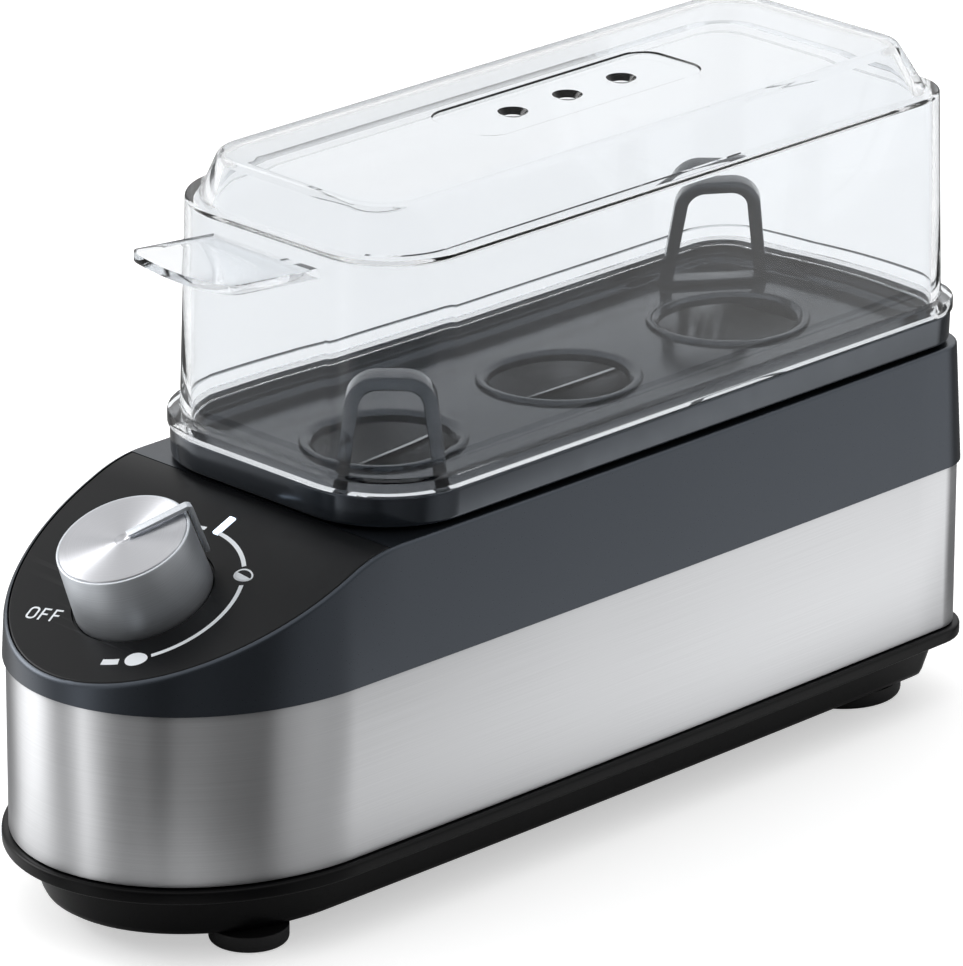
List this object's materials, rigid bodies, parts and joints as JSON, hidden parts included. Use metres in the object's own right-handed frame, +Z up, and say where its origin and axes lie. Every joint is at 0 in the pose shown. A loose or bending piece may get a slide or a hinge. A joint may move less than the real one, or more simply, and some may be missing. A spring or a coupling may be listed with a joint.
{
  "type": "electric egg boiler",
  "caption": "Oblong electric egg boiler: steel-banded heater base with a tilted knob panel, a lift-out egg tray with arch handles and a clear domed lid with steam holes.",
  "frame": {"origin": "on the table under the middle of the flange that is the base's largest outline", "axes": "+X to the rear along the row of egg seats, away from the knob; +Y to the far side; +Z up"},
  "size_m": [0.243, 0.085, 0.1522],
  "materials": {
    "black_plastic": "fine satin moulding",
    "grey_plastic": "satin moulding",
    "fascia_plastic": "smooth satin",
    "brushed_band": "brushed along the band",
    "dish_steel": "pressed and polished",
    "knob_metal": "satin",
    "spun_metal": "spun in fine rings",
    "tray_plastic": "semi-gloss moulding",
    "clear_plastic": "clear moulding",
    "foot_rubber": "matt",
    "silicone": "matt",
    "zinc_steel": "zinc plated",
    "heater_aluminium": "cast and extruded",
    "circuit_board": "solder mask",
    "component_black": "moulded",
    "relay_blue": "moulded",
    "insulation": "moulded",
    "light_window": "frosted clear"
  },
  "bodies": {
    "base": {"base_pan": "black_plastic", "foot_front_near": "foot_rubber", "foot_front_far": "foot_rubber", "foot_rear_near": "foot_rubber", "foot_rear_far": "foot_rubber", "base_screw_1": "zinc_steel", "base_screw_2": "zinc_steel", "base_screw_3": "zinc_steel", "base_screw_4": "zinc_steel", "steel_band": "brushed_band", "cord_gland": "foot_rubber", "upper_housing": "grey_plastic", "control_panel": "fascia_plastic", "regulator": "component_black", "spindle_nut": "zinc_steel", "indicator_lens": "light_window", "indicator_led": "light_window", "control_board": "circuit_board", "board_screw_1": "zinc_steel", "board_screw_2": "zinc_steel", "board_screw_3": "zinc_steel", "board_screw_4": "zinc_steel", "buzzer": "component_black", "relay": "relay_blue", "capacitor": "component_black", "terminal_block": "insulation", "water_dish": "dish_steel", "dish_seal": "silicone", "heat_spreader": "heater_aluminium", "heating_element": "heater_aluminium", "element_clamp_1": "zinc_steel", "element_clamp_2": "zinc_steel", "clamp_screw_1": "zinc_steel", "clamp_screw_2": "zinc_steel", "clamp_screw_3": "zinc_steel", "clamp_screw_4": "zinc_steel", "thermostat": "insulation", "thermal_fuse": "heater_aluminium", "lead_live": "insulation", "lead_neutral": "insulation", "lead_fuse": "insulation"},
    "knob": {"knob_shell": "knob_metal", "knob_cap": "spun_metal", "pointer_bar": "spun_metal", "knob_spindle": "zinc_steel"},
    "tray": {"egg_tray": "tray_plastic", "tray_handle_near": "tray_plastic", "tray_handle_far": "tray_plastic"},
    "lid": {"lid": "clear_plastic"}
  },
  "joints": [
    {"name": "knob_turn", "type": "hinge", "parent": "base", "child": "knob", "pos_m": [-0.0935, 0, 0.072], "axis": [-0.3795, 0, 0.9252], "range_deg": [-132, 159]},
    {"name": "tray_lift", "type": "slide", "parent": "base", "child": "tray", "axis": [0, 0, 1], "range_m": [0, 0.045]},
    {"name": "lid_lift", "type": "slide", "parent": "tray", "child": "lid", "axis": [0, 0, 1], "range_m": [0, 0.07]}
  ]
}
